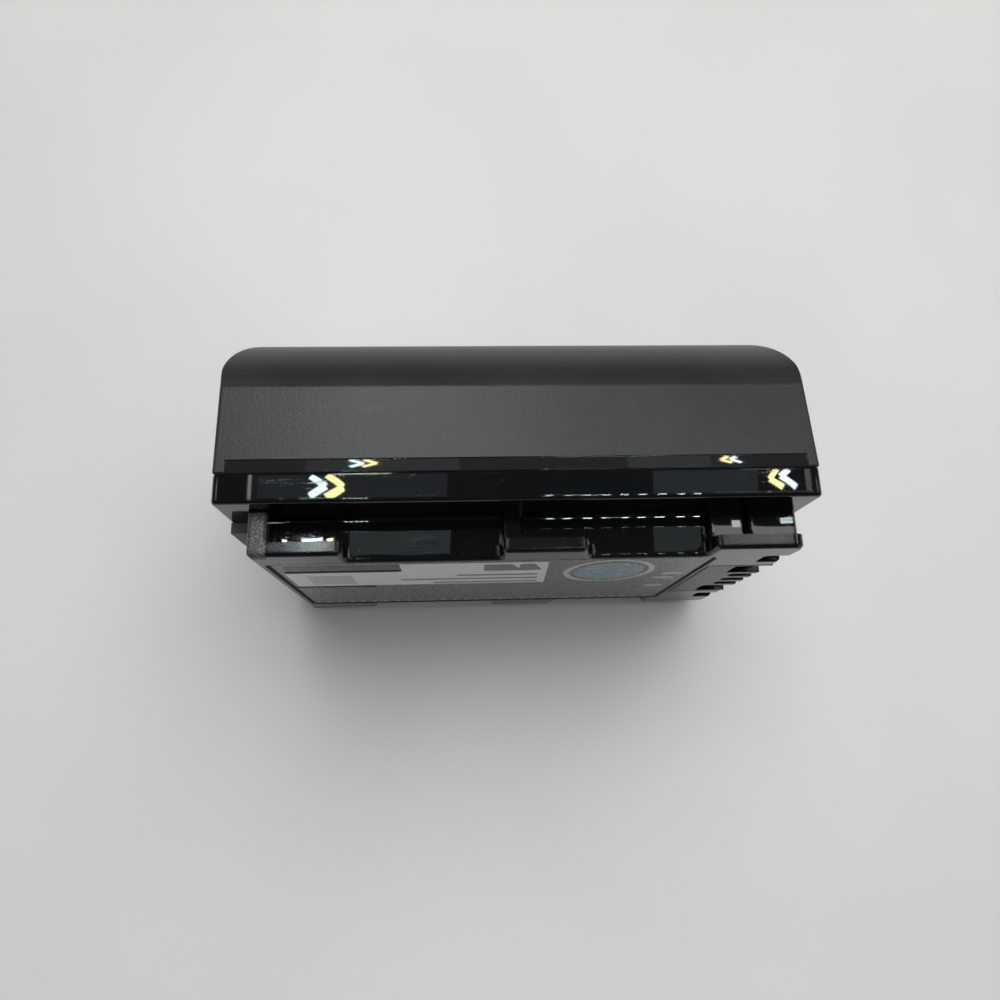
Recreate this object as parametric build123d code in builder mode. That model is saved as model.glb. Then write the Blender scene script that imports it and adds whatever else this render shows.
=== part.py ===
from build123d import *
from math import radians, sqrt, tan
import os

# A camera battery that stands on one long side. X runs from the plain end to the terminal end,
# Y from the label face (negative) to the outer face of the cover, and Z upwards from the side
# that it stands on. All sizes are in millimetres, angles in degrees.

# Envelope and walls
length = 45.0
thickness = 18.5
width = 31.8
wall = 0.8
face_wall = 0.9

# Cover: crowned outer face, round long edges, rounded and drafted ends, polished band at the mouth
crown_radius = 75.0
edge_radius = 5.05
plain_end_radius = 3.4
terminal_end_radius = 4.2
plain_end_draft = 1.2
terminal_end_draft = 3.5
corner_break = 0.3
band_height = 1.03
band_depth = 0.08
band_end_inset = 0.9
mouth_chamfer = 0.12

# Base: wide rim, mounting plate with lips, side channels
rim_height = 2.29
rim_corner = 0.6
rim_round = 0.3
rim_mouth_chamfer = 0.12
groove_inset = 2.95
groove_width = 0.6
groove_depth = 0.013
tongue_height = 1.0
tongue_thickness = 0.5
tongue_clearance = 0.05
channel_width = 2.38
channel_inset = 4.8
lip_thickness = 1.1
lip_inset = 2.05
lip_chamfer = 0.25
lip_corner = 1.0
notch_round = 0.4
channel_foot = 0.3
rib_chamfer = 0.2
plate_left_inset = 2.2
plate_right_inset = 0.85
left_lip_length = 6.9
first_notch_length = 12.0
centre_lip_length = 6.6
lip_slant = 0.7
second_notch_length = 9.55
end_block_length = 1.43
rib_length = 1.6
step_height = 1.3
slit_inset = 2.9
slit_width = 0.4
pad_length = 2.1
pad_height = 0.9
pad_half_width = 10.4
post_radius = 0.9

# Label film in its recess
label_thickness = 0.15
label_recess = 0.2
label_clearance = 0.1
label_half_width = 10.7
label_left_inset = 0.6
label_right_gap = 0.35
label_corner = 0.8

# Terminal end
terminal_length = 5.5
terminal_half_width = 6.8
terminal_corner = 0.7
terminal_clearance = 0.08
flange_width = 0.7
flange_thickness = 0.6
slot_depth = 2.2
slot_corner = 0.4
power_slot_offset = 4.95
power_slot_width = 2.9
power_slot_length = 3.05
signal_slot_pitch = 2.1
signal_slot_width = 1.2
signal_slot_length = 2.35
guide_slot_offset = 9.5
guide_slot_width = 2.5
guide_slot_length = 2.15
contact_thickness = 0.2
contact_depth = 1.7
contact_clearance = 0.1
contact_setback = 0.5
contact_tip_spread = 0.9
contact_pinch = 0.4
tail_length = 0.6
tail_width = 0.5
tail_clearance = 0.08
tail_stick_out = 0.3

# Circuit board in the pocket behind the label face
component_room = 1.95
board_thickness = 0.8
board_length = 26.0
board_clearance = 0.4
board_corner = 0.5

# Cells and what joins them
cell_end_gap = 1.5
terminal_end_room = 4.2
cell_side_gap = 0.35
cell_corner_gap = 0.1
cell_side_flat = 0.1
cell_end_chamfer = 0.5
tape_thickness = 0.15
tape_margin = 4.0
insulator_thickness = 0.3
insulator_margin = 0.3
foam_thickness = 0.5
foam_margin = 5.0
end_foam_gap = 0.15
gasket_thickness = 0.15
button_height = 0.35
button_length = 3.6
button_width = 2.2
gasket_border = 0.4
weld_offset = 5.5
strap_width = 2.4
strap_thickness = 0.15
strap_bend = 0.4
strap_overlap = 1.2
strap_foot = 1.9
card_thickness = 0.25
card_clearance = 0.2

# How far cutting shapes run past the faces that they cut
overrun = 1.0

# Levels along Y, from the label face to the outer face
label_y = -thickness / 2
lip_back_y = label_y + lip_thickness
rim_front_y = lip_back_y + channel_width
parting_y = rim_front_y + rim_height
cover_top_y = thickness / 2
pocket_floor_y = label_y + face_wall
rim_floor_y = rim_front_y + wall
board_bottom_y = pocket_floor_y + component_room
board_top_y = board_bottom_y + board_thickness
slot_floor_y = label_y + slot_depth

# Places along X
left_x = -length / 2
right_x = length / 2
plate_left_x = left_x + plate_left_inset
plate_right_x = right_x - plate_right_inset
first_notch_x = plate_left_x + left_lip_length
centre_lip_x = first_notch_x + first_notch_length
second_notch_x = centre_lip_x + centre_lip_length
right_lip_x = second_notch_x + second_notch_length
terminal_x = plate_right_x - terminal_length
guide_x = plate_right_x - guide_slot_length
groove_x = left_x + groove_inset
pocket_step_x = guide_x - wall
cell_left_x = left_x + wall + cell_end_gap
cell_right_x = right_x - wall - terminal_end_room
weld_x = cell_right_x + gasket_thickness + button_height
board_right_x = plate_right_x - wall - board_clearance
board_left_x = board_right_x - board_length

# Places along Z
mid_z = width / 2
lip_half = mid_z - lip_inset
channel_half = mid_z - channel_inset
pocket_half = channel_half - wall
terminal_pocket_half = terminal_half_width + flange_width + terminal_clearance

# Round long edge of the cover: its centre, and where it runs into the crown
crown_centre_y = cover_top_y - crown_radius
edge_centre_z = mid_z - edge_radius
edge_centre_y = crown_centre_y + sqrt((crown_radius - edge_radius) ** 2 - edge_centre_z**2)
crown_reach = crown_radius / (crown_radius - edge_radius)
crown_tangent_y = crown_centre_y + (edge_centre_y - crown_centre_y) * crown_reach
crown_tangent_z = edge_centre_z * crown_reach

# Room inside the cover
cavity_radius = edge_radius - wall
cavity_top_y = edge_centre_y + cavity_radius
cavity_plain_radius = plain_end_radius - wall
cavity_terminal_radius = terminal_end_radius - wall

# Cells: two equal ones share the depth between the insulator and the foam
cell_floor_y = rim_floor_y + insulator_thickness
cell_roof_y = cavity_top_y - foam_thickness
cell_thickness = (cell_roof_y - cell_floor_y - tape_thickness) / 2
cell_radius = (cell_thickness - cell_side_flat) / 2
inner_cell_y = cell_floor_y + cell_thickness / 2
outer_cell_y = cell_roof_y - cell_thickness / 2
corner_slack = cavity_radius - cell_corner_gap - cell_radius
corner_rise = max(0, cell_roof_y - cell_radius - edge_centre_y)
corner_room = edge_centre_z + sqrt(max(0, corner_slack**2 - corner_rise**2)) + cell_radius
side_room = mid_z - wall - tongue_clearance - tongue_thickness - cell_side_gap
cell_half_width = min(side_room, corner_room)


def crown_y(z):
    """Height of the crowned outer face at distance z from the middle of the battery."""
    return crown_centre_y + sqrt(crown_radius**2 - z**2)


def facing_label(y):
    """Drawing plane at level y, seen from the label side: local x is X, local y is Z, and it
    is lifted to the middle of the battery."""
    return Plane(origin=(0, y, mid_z), x_dir=(1, 0, 0), z_dir=(0, -1, 0))


def facing_end(x):
    """Drawing plane at place x, across the battery: local x is Y and local y is Z from the middle."""
    return Plane(origin=(x, 0, mid_z), x_dir=(0, 1, 0), z_dir=(1, 0, 0))


def from_side(z):
    """Drawing plane at distance z from the middle, seen from above: local x is X, local y is Y."""
    return Plane(origin=(0, 0, mid_z + z), x_dir=(1, 0, 0), z_dir=(0, 0, 1))


def span(low, high, half, radius=0):
    """Rectangle on the current sketch from low to high along X, and half either side of the middle."""
    with Locations(((low + high) / 2, 0)):
        if radius:
            RectangleRounded(high - low, 2 * half, radius)
        else:
            Rectangle(high - low, 2 * half)


def write(piece, name):
    """Label a finished piece with its node name and write it to its own file."""
    piece.part.label = name
    export_step(piece.part, f"parts/{name}.step")


os.makedirs("parts", exist_ok=True)

# Room inside the cover, rounded and drafted like its outside
plain_slope = tan(radians(plain_end_draft))
terminal_slope = tan(radians(terminal_end_draft))
cover_height = cover_top_y - parting_y
cavity_height = cavity_top_y - parting_y
cavity_left_x = left_x + wall
cavity_right_x = right_x - wall
cavity_mouth_y = parting_y - overrun
tongue_room_y = parting_y + tongue_height + tongue_clearance
with BuildPart() as cavity:
    with BuildSketch(facing_end(left_x)) as cavity_section:
        with Locations(((cavity_mouth_y + cavity_top_y) / 2, 0)):
            Rectangle(cavity_top_y - cavity_mouth_y, width - 2 * wall)
        fillet(cavity_section.vertices().group_by(Axis.X)[-1], cavity_radius)
    extrude(amount=length)
    with BuildSketch(from_side(-mid_z)) as cavity_side:
        with BuildLine():
            Polyline(
                (cavity_left_x, cavity_mouth_y),
                (cavity_right_x, cavity_mouth_y),
                (cavity_right_x, tongue_room_y),
                (cavity_right_x - cavity_height * terminal_slope, cavity_top_y),
                (cavity_left_x + cavity_height * plain_slope, cavity_top_y),
                (cavity_left_x, tongue_room_y),
                close=True,
            )
        make_face()
        far_corners = cavity_side.vertices().group_by(Axis.Y)[-1].sort_by(Axis.X)
        fillet(far_corners[0], cavity_plain_radius)
        fillet(far_corners[1], cavity_terminal_radius)
    extrude(amount=width, mode=Mode.INTERSECT)

# Cover: drafted block, crowned, its ends rounded into the crown, then the long edges rounded
crown_side = mid_z + overrun
arc_half = sqrt(0.5) * edge_radius
with BuildPart() as cover:
    with BuildSketch(from_side(-mid_z)):
        with BuildLine():
            Polyline(
                (left_x, parting_y),
                (right_x, parting_y),
                (right_x - cover_height * terminal_slope, cover_top_y),
                (left_x + cover_height * plain_slope, cover_top_y),
                close=True,
            )
        make_face()
    extrude(amount=width)
    with BuildSketch(facing_end(left_x - overrun)):
        with BuildLine():
            ThreePointArc(
                (crown_y(crown_side), -crown_side),
                (cover_top_y, 0),
                (crown_y(crown_side), crown_side),
            )
            Polyline(
                (crown_y(crown_side), crown_side),
                (cavity_mouth_y, crown_side),
                (cavity_mouth_y, -crown_side),
                (crown_y(crown_side), -crown_side),
            )
        make_face()
    extrude(amount=length + 2 * overrun, mode=Mode.INTERSECT)
    end_walls = cover.faces().sort_by(Axis.X)
    plain_edge = end_walls[0].edges().sort_by(Axis.Y)[-1]
    terminal_edge = end_walls[-1].edges().sort_by(Axis.Y)[-1]
    fillet(plain_edge, plain_end_radius)
    fillet(terminal_edge, terminal_end_radius)
    sides = cover.faces().sort_by(Axis.Z)
    side_edges = [edge for face in (sides[0], sides[-1]) for edge in face.edges().sort_by(Axis.Y)[1:]]
    fillet(side_edges, corner_break)
    for side in (-1, 1):
        with BuildSketch(facing_end(left_x - overrun)):
            with BuildLine():
                ThreePointArc(
                    (crown_tangent_y, side * crown_tangent_z),
                    (edge_centre_y + arc_half, side * (edge_centre_z + arc_half)),
                    (edge_centre_y, side * mid_z),
                )
                Polyline(
                    (edge_centre_y, side * mid_z),
                    (edge_centre_y, side * (mid_z + overrun)),
                    (cover_top_y + overrun, side * (mid_z + overrun)),
                    (cover_top_y + overrun, side * crown_tangent_z),
                    (crown_tangent_y, side * crown_tangent_z),
                )
            make_face()
        extrude(amount=length + 2 * overrun, mode=Mode.SUBTRACT)
    chamfer(cover.faces().sort_by(Axis.Y)[0].edges(), mouth_chamfer)
    for side in (-1, 1):
        with BuildSketch(facing_label(parting_y - overrun)):
            with Locations((0, side * mid_z)):
                Rectangle(length - 2 * band_end_inset, 2 * band_depth)
        extrude(amount=-(band_height + overrun), mode=Mode.SUBTRACT)
    add(cavity.part, mode=Mode.SUBTRACT)
write(cover, "cover_shell")

# Base: rim, plate, lips and side channels outside, then the rooms inside
base_wall = wall + tongue_clearance + tongue_thickness
label_left_x = plate_left_x + label_left_inset
label_right_x = terminal_x - label_right_gap
post_x = board_left_x + 2 * post_radius
post_z = pocket_half - 3 * post_radius
lip_rise = lip_half - channel_half
with BuildPart() as base:
    with BuildSketch(facing_label(parting_y)):
        RectangleRounded(length, width, rim_corner)
    extrude(amount=rim_height)
    fillet(base.faces().sort_by(Axis.Y)[0].edges(), rim_round)
    chamfer(base.faces().sort_by(Axis.Y)[-1].edges(), rim_mouth_chamfer)
    with BuildSketch(facing_label(rim_front_y)):
        span(plate_left_x, plate_right_x, channel_half)
    extrude(amount=rim_front_y - label_y)
    foot_edges = base.edges().filter_by(Axis.X).filter_by_position(Axis.Y, rim_front_y, rim_front_y)
    fillet([edge for edge in foot_edges if abs(edge.center().Z - mid_z) < lip_half], channel_foot)
    with BuildSketch(facing_label(lip_back_y)) as lips:
        span(plate_left_x, plate_right_x, lip_half)
        fillet(lips.vertices().group_by(Axis.X)[-1], lip_corner)
        for side in (-1, 1):
            with Locations(((first_notch_x + centre_lip_x) / 2, side * (channel_half + lip_rise))):
                Rectangle(first_notch_length, 2 * lip_rise, mode=Mode.SUBTRACT)
            with BuildLine():
                Polyline(
                    (second_notch_x + lip_slant / 2, side * channel_half),
                    (right_lip_x, side * channel_half),
                    (right_lip_x, side * (lip_half + overrun)),
                    (second_notch_x - lip_slant / 2, side * (lip_half + overrun)),
                    (second_notch_x - lip_slant / 2, side * lip_half),
                    close=True,
                )
            make_face(mode=Mode.SUBTRACT)
        fillet([corner for corner in lips.vertices() if corner.X < right_lip_x + overrun], notch_round)
    extrude(amount=lip_thickness)
    chamfer(base.faces().sort_by(Axis.Y)[0].edges(), lip_chamfer)
    for side in (-1, 1):
        with BuildSketch(facing_label(rim_front_y)) as ribs:
            with Locations((plate_left_x + end_block_length / 2, side * (channel_half + lip_rise / 2))):
                Rectangle(end_block_length, lip_rise)
            with Locations((centre_lip_x + rib_length / 2, side * (channel_half + step_height / 2))):
                Rectangle(rib_length, step_height)
            with Locations(((right_lip_x + plate_right_x) / 2, side * (channel_half + step_height / 2))):
                Rectangle(plate_right_x - right_lip_x, step_height)
            with Locations((right_lip_x + slit_inset, side * (channel_half + step_height / 2))):
                Rectangle(slit_width, step_height, mode=Mode.SUBTRACT)
            corners = [corner for corner in ribs.vertices() if abs(corner.Y) > channel_half + rib_chamfer]
            chamfer([corner for corner in corners if corner.X > plate_left_x + rib_chamfer], rib_chamfer)
            fillet([corner for corner in corners if corner.X < plate_left_x + rib_chamfer], notch_round)
        extrude(amount=channel_width)
    with BuildSketch(facing_label(rim_front_y)):
        span(plate_left_x - pad_length, plate_left_x, pad_half_width)
    extrude(amount=pad_height)
    with BuildSketch(facing_label(parting_y)):
        Rectangle(length - 2 * base_wall, width - 2 * base_wall)
    extrude(amount=parting_y - rim_floor_y, mode=Mode.SUBTRACT)
    with BuildSketch(facing_label(rim_floor_y)):
        span(plate_left_x + wall, pocket_step_x, pocket_half)
        span(pocket_step_x - overrun, plate_right_x - wall, terminal_pocket_half)
    extrude(amount=rim_floor_y - pocket_floor_y, mode=Mode.SUBTRACT)
    with BuildSketch(facing_label(label_y)):
        span(terminal_x, plate_right_x + 2 * terminal_corner, terminal_half_width, terminal_corner)
    extrude(amount=label_y - board_bottom_y, mode=Mode.SUBTRACT)
    with BuildSketch(facing_label(label_y)):
        for side in (-1, 1):
            with Locations((guide_x + guide_slot_length / 2 + slot_corner, side * guide_slot_offset)):
                RectangleRounded(guide_slot_length + 2 * slot_corner, guide_slot_width, slot_corner)
    extrude(amount=-slot_depth, mode=Mode.SUBTRACT)
    with BuildSketch(facing_label(label_y)):
        span(label_left_x, label_right_x, label_half_width, label_corner)
    extrude(amount=-label_recess, mode=Mode.SUBTRACT)
    with BuildSketch(facing_label(parting_y)):
        Rectangle(length - 2 * (wall + tongue_clearance), width - 2 * (wall + tongue_clearance))
        Rectangle(length - 2 * base_wall, width - 2 * base_wall, mode=Mode.SUBTRACT)
    extrude(amount=-tongue_height)
    for side in (-1, 1):
        with BuildSketch(facing_label(parting_y)):
            with BuildLine():
                Polyline(
                    (groove_x - groove_width / 2, side * mid_z),
                    (groove_x, side * (mid_z - groove_depth)),
                    (groove_x + groove_width / 2, side * mid_z),
                    close=True,
                )
            make_face()
        extrude(amount=rim_height, mode=Mode.SUBTRACT)

# The base stands as three nodes: the rim, the box behind the plate, and the plate with its lips
with BuildPart() as base_rim:
    add(base.part)
    split(bisect_by=facing_label(rim_front_y), keep=Keep.BOTTOM)
write(base_rim, "base_rim")
with BuildPart() as base_box:
    add(base.part)
    split(bisect_by=facing_label(rim_front_y), keep=Keep.TOP)
    split(bisect_by=facing_label(lip_back_y), keep=Keep.BOTTOM)
write(base_box, "base_box")
with BuildPart() as base_lips:
    add(base.part)
    split(bisect_by=facing_label(lip_back_y), keep=Keep.TOP)
    with BuildSketch(facing_label(board_bottom_y)):
        with GridLocations(0, 2 * post_z, 1, 2):
            with Locations((post_x, 0)):
                Circle(post_radius)
    extrude(amount=component_room)
write(base_lips, "base_lips")

# Label film, with a thin line left free around it
with BuildPart() as label:
    with BuildSketch(facing_label(label_y + label_recess)):
        span(
            label_left_x + label_clearance,
            label_right_x - label_clearance,
            label_half_width - label_clearance,
            label_corner - label_clearance,
        )
    extrude(amount=label_thickness)
write(label, "label_film")

# Slots of the terminal block, as place along Z, width and length
slots = {
    "contact_plus": (power_slot_offset, power_slot_width, power_slot_length),
    "contact_minus": (-power_slot_offset, power_slot_width, power_slot_length),
    "contact_signal_1": (signal_slot_pitch, signal_slot_width, signal_slot_length),
    "contact_signal_2": (0, signal_slot_width, signal_slot_length),
    "contact_signal_3": (-signal_slot_pitch, signal_slot_width, signal_slot_length),
}


def spine_x(slot_length):
    """Place of a contact's back along X, clear of the round inner corners of its slot."""
    return plate_right_x - slot_length + slot_corner + contact_thickness / 2


def tail_sections(gap):
    """Rectangles of all the contact tails on the current sketch, each larger by gap on every side."""
    for offset, _, slot_length in slots.values():
        with Locations((spine_x(slot_length), offset)):
            Rectangle(tail_length + 2 * gap, tail_width + 2 * gap)


with BuildPart() as block:
    with BuildSketch(facing_label(label_y)) as block_face:
        span(terminal_x + terminal_clearance, plate_right_x, terminal_half_width - terminal_clearance)
        fillet(block_face.vertices().group_by(Axis.X)[0], terminal_corner - terminal_clearance)
    extrude(amount=label_y - board_bottom_y)
    with BuildSketch(facing_label(pocket_floor_y)):
        span(
            terminal_x - flange_width,
            plate_right_x - wall - terminal_clearance,
            terminal_half_width + flange_width,
        )
    extrude(amount=-flange_thickness)
    with BuildSketch(facing_label(label_y)):
        for offset, slot_width, slot_length in slots.values():
            with Locations((plate_right_x - slot_length / 2 + slot_corner, offset)):
                RectangleRounded(slot_length + 2 * slot_corner, slot_width, slot_corner)
    extrude(amount=-slot_depth, mode=Mode.SUBTRACT)
    with BuildSketch(facing_label(board_bottom_y)):
        tail_sections(tail_clearance)
    extrude(amount=board_bottom_y - slot_floor_y, mode=Mode.SUBTRACT)
write(block, "terminal_block")

# Fork contacts: two spring arms that pinch, on a back with a tail that goes through the board
for name, (offset, slot_width, slot_length) in slots.items():
    back_x = spine_x(slot_length)
    tip_x = plate_right_x - contact_setback
    arm = slot_width / 2 - contact_clearance - contact_thickness / 2
    with BuildPart() as contact:
        with BuildSketch(facing_label(slot_floor_y)):
            with BuildLine():
                Polyline(
                    (tip_x, offset + arm * contact_tip_spread),
                    ((tip_x * 2 + back_x) / 3, offset + arm * contact_pinch),
                    (back_x, offset + arm),
                    (back_x, offset - arm),
                    ((tip_x * 2 + back_x) / 3, offset - arm * contact_pinch),
                    (tip_x, offset - arm * contact_tip_spread),
                )
            trace(line_width=contact_thickness)
        extrude(amount=contact_depth)
        with BuildSketch(facing_label(slot_floor_y)):
            with Locations((back_x, offset)):
                Rectangle(tail_length, tail_width)
        extrude(amount=slot_floor_y - board_top_y - tail_stick_out)
    write(contact, name)

# Circuit board on the terminal block and two posts
with BuildPart() as board:
    with BuildSketch(facing_label(board_top_y)) as board_outline:
        span(board_left_x, pocket_step_x - board_clearance, pocket_half - board_clearance)
        span(pocket_step_x - overrun, board_right_x, terminal_pocket_half - board_clearance)
        fillet(board_outline.vertices(), board_corner)
    extrude(amount=board_thickness)
    with BuildSketch(facing_label(board_top_y)):
        tail_sections(tail_clearance)
    extrude(amount=board_thickness, mode=Mode.SUBTRACT)
write(board, "circuit_board")

# Parts on the underside of the board: distance from its plain end, place along Z, length, width, height
board_parts = {
    "gauge_chip": (8.0, 4.0, 5.0, 4.4, 1.0),
    "protection_chip": (8.0, -4.5, 3.0, 3.0, 0.9),
    "charge_switch": (14.5, -4.0, 3.2, 3.2, 0.8),
    "discharge_switch": (18.6, -4.0, 3.2, 3.2, 0.8),
    "sense_resistor": (14.0, 2.0, 3.2, 1.6, 0.6),
    "chip_fuse": (18.2, 2.0, 3.2, 1.6, 0.7),
}
chip_edge = 0.1
for name, (distance, offset, chip_length, chip_width, chip_height) in board_parts.items():
    with BuildPart() as chip:
        with BuildSketch(facing_label(board_bottom_y)):
            with Locations((board_left_x + distance, offset)):
                Rectangle(chip_length, chip_width)
        extrude(amount=chip_height)
        chamfer(chip.faces().sort_by(Axis.Y)[0].edges(), chip_edge)
    write(chip, name)

capacitor_distance = 15.6
capacitor_offset = 6.5
capacitor_pitch = 1.8
capacitor_size = 0.6
with BuildPart() as capacitors:
    with BuildSketch(facing_label(board_bottom_y)):
        with Locations((board_left_x + capacitor_distance, capacitor_offset)):
            with GridLocations(capacitor_pitch, 0, 4, 1):
                Rectangle(capacitor_size, 2 * capacitor_size)
    extrude(amount=capacitor_size)
write(capacitors, "board_capacitors")

thermistor_distance = 10.0
thermistor_length = 1.6
thermistor_height = 0.45
with BuildPart() as thermistor:
    with BuildSketch(facing_label(board_top_y)):
        with Locations((board_left_x + thermistor_distance, 0)):
            Rectangle(thermistor_length, thermistor_length / 2)
    extrude(amount=-thermistor_height)
write(thermistor, "thermistor")

# Cells with their terminals: an insulated button in the middle and a weld plate beside it
cell_length = cell_right_x - cell_left_x
weld_height = weld_x - cell_right_x
cells = {"cell_inner": (inner_cell_y, weld_offset), "cell_outer": (outer_cell_y, -weld_offset)}
for name, (cell_y, plate_offset) in cells.items():
    with BuildPart() as cell:
        with BuildSketch(facing_end(cell_left_x)):
            with Locations((cell_y, 0)):
                RectangleRounded(cell_thickness, 2 * cell_half_width, cell_radius)
        extrude(amount=cell_length)
        end_faces = cell.faces().sort_by(Axis.X)
        chamfer(end_faces[0].edges() + end_faces[-1].edges(), cell_end_chamfer)
    write(cell, name)
    with BuildPart() as gasket:
        with BuildSketch(facing_end(cell_right_x)):
            with Locations((cell_y, 0)):
                Rectangle(button_width + 2 * gasket_border, button_length + 2 * gasket_border)
        extrude(amount=gasket_thickness)
    write(gasket, f"{name}_gasket")
    with BuildPart() as button:
        with BuildSketch(facing_end(cell_right_x + gasket_thickness)):
            with Locations((cell_y, 0)):
                RectangleRounded(button_width, button_length, button_width / 4)
        extrude(amount=button_height)
    write(button, f"{name}_button")
    with BuildPart() as weld_plate:
        with BuildSketch(facing_end(cell_right_x)):
            with Locations((cell_y, plate_offset)):
                Rectangle(button_width, strap_width)
        extrude(amount=weld_height)
    write(weld_plate, f"{name}_plate")

# Straps: two that bend onto the board, and one across from the outer button to the inner plate
board_straps = {
    "strap_positive": (-weld_offset, outer_cell_y),
    "strap_negative": (0, inner_cell_y),
}
strap_x = weld_x + strap_thickness / 2
foot_y = board_top_y + strap_thickness / 2
for name, (offset, cell_y) in board_straps.items():
    with BuildPart() as strap:
        with BuildSketch(from_side(offset)):
            with BuildLine():
                FilletPolyline(
                    (strap_x - strap_foot, foot_y),
                    (strap_x, foot_y),
                    (strap_x, cell_y + strap_overlap),
                    radius=strap_bend,
                )
            trace(line_width=strap_thickness)
        extrude(amount=strap_width / 2, both=True)
    write(strap, name)

with BuildPart() as middle_strap:
    with BuildSketch(facing_end(weld_x)):
        with BuildLine():
            Polyline(
                (outer_cell_y + strap_overlap, 0),
                (outer_cell_y - strap_overlap, 0),
                (inner_cell_y + strap_overlap, weld_offset),
                (inner_cell_y - strap_overlap, weld_offset),
            )
        trace(line_width=strap_width)
    extrude(amount=strap_thickness)
write(middle_strap, "strap_middle")

# Tape between the cells, sheet under them, card over their terminal ends, foam that holds them
with BuildPart() as tape:
    with BuildSketch(facing_label(cell_floor_y + cell_thickness)):
        span(cell_left_x + tape_margin, cell_right_x - tape_margin, cell_half_width - tape_margin)
    extrude(amount=-tape_thickness)
write(tape, "cell_tape")

with BuildPart() as insulator:
    with BuildSketch(facing_label(rim_floor_y)):
        span(left_x + base_wall + insulator_margin, cell_right_x, mid_z - base_wall - insulator_margin)
    extrude(amount=-insulator_thickness)
write(insulator, "board_insulator")

card_half = cell_half_width - cell_radius
card_low_y = cell_floor_y + cell_end_chamfer
card_high_y = cell_roof_y - cell_end_chamfer
with BuildPart() as card:
    with BuildSketch(facing_end(cell_right_x)):
        with Locations(((card_low_y + card_high_y) / 2, 0)):
            Rectangle(card_high_y - card_low_y, 2 * card_half)
        for cell_y, plate_offset in cells.values():
            gap = 2 * (gasket_border + card_clearance)
            with Locations((cell_y, 0)):
                Rectangle(button_width + gap, button_length + gap, mode=Mode.SUBTRACT)
            with Locations((cell_y, plate_offset)):
                Rectangle(button_width + gap, strap_width + gap, mode=Mode.SUBTRACT)
    extrude(amount=card_thickness)
write(card, "end_card")

with BuildPart() as foam:
    with BuildSketch(facing_label(cell_roof_y)):
        span(cell_left_x + foam_margin, cell_right_x - foam_margin, cell_half_width - foam_margin)
    extrude(amount=-foam_thickness)
write(foam, "foam_pad")

with BuildPart() as end_foam:
    with BuildSketch(facing_end(cell_left_x)):
        with Locations(((inner_cell_y + outer_cell_y) / 2, 0)):
            Rectangle(outer_cell_y - inner_cell_y, 2 * (cell_half_width - foam_margin))
    extrude(amount=left_x + base_wall + end_foam_gap - cell_left_x)
write(end_foam, "end_foam")
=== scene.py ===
"""Camera battery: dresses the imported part, prints its label, and lays out table, lamps and camera."""

import logging
import math
from dataclasses import dataclass
from enum import Enum
from typing import Any, Mapping, Optional, Sequence, Union

import bpy
from mathutils import Euler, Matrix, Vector


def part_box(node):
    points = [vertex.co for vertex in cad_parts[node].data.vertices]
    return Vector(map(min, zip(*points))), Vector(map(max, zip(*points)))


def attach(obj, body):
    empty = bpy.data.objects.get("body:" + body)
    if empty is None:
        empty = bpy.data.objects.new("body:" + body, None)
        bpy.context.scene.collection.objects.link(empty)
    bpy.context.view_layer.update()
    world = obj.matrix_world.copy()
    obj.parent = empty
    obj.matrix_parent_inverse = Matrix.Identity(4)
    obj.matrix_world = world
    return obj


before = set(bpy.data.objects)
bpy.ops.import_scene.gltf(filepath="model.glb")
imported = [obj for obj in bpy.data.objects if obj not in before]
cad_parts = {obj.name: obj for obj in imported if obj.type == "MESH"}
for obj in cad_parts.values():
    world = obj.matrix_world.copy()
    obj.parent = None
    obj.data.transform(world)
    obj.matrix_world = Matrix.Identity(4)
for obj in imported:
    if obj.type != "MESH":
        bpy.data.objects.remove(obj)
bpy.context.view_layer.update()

log = logging.getLogger("battery")

# Finishes, pieces, the lens and the camera's place are in millimetres.
# Lamps, table and clipping distances are in metres.
MM = 0.001
BODY = "root"
HALF_HEIGHT = 15.9

Colour = tuple[float, float, float]
Point = tuple[float, float, float]
Spot = tuple[float, float]


class Slot(Enum):
    """Material slot names of the record for new pieces; the script doesn't use them."""

    COVER = "cover_plastic"
    LABEL = "label_print"


class Axis(Enum):
    """Directions of the row frame, as the outputs of a node that takes a vector apart."""

    ALONG = "X"
    ACROSS = "Y"
    UP = "Z"


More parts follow.
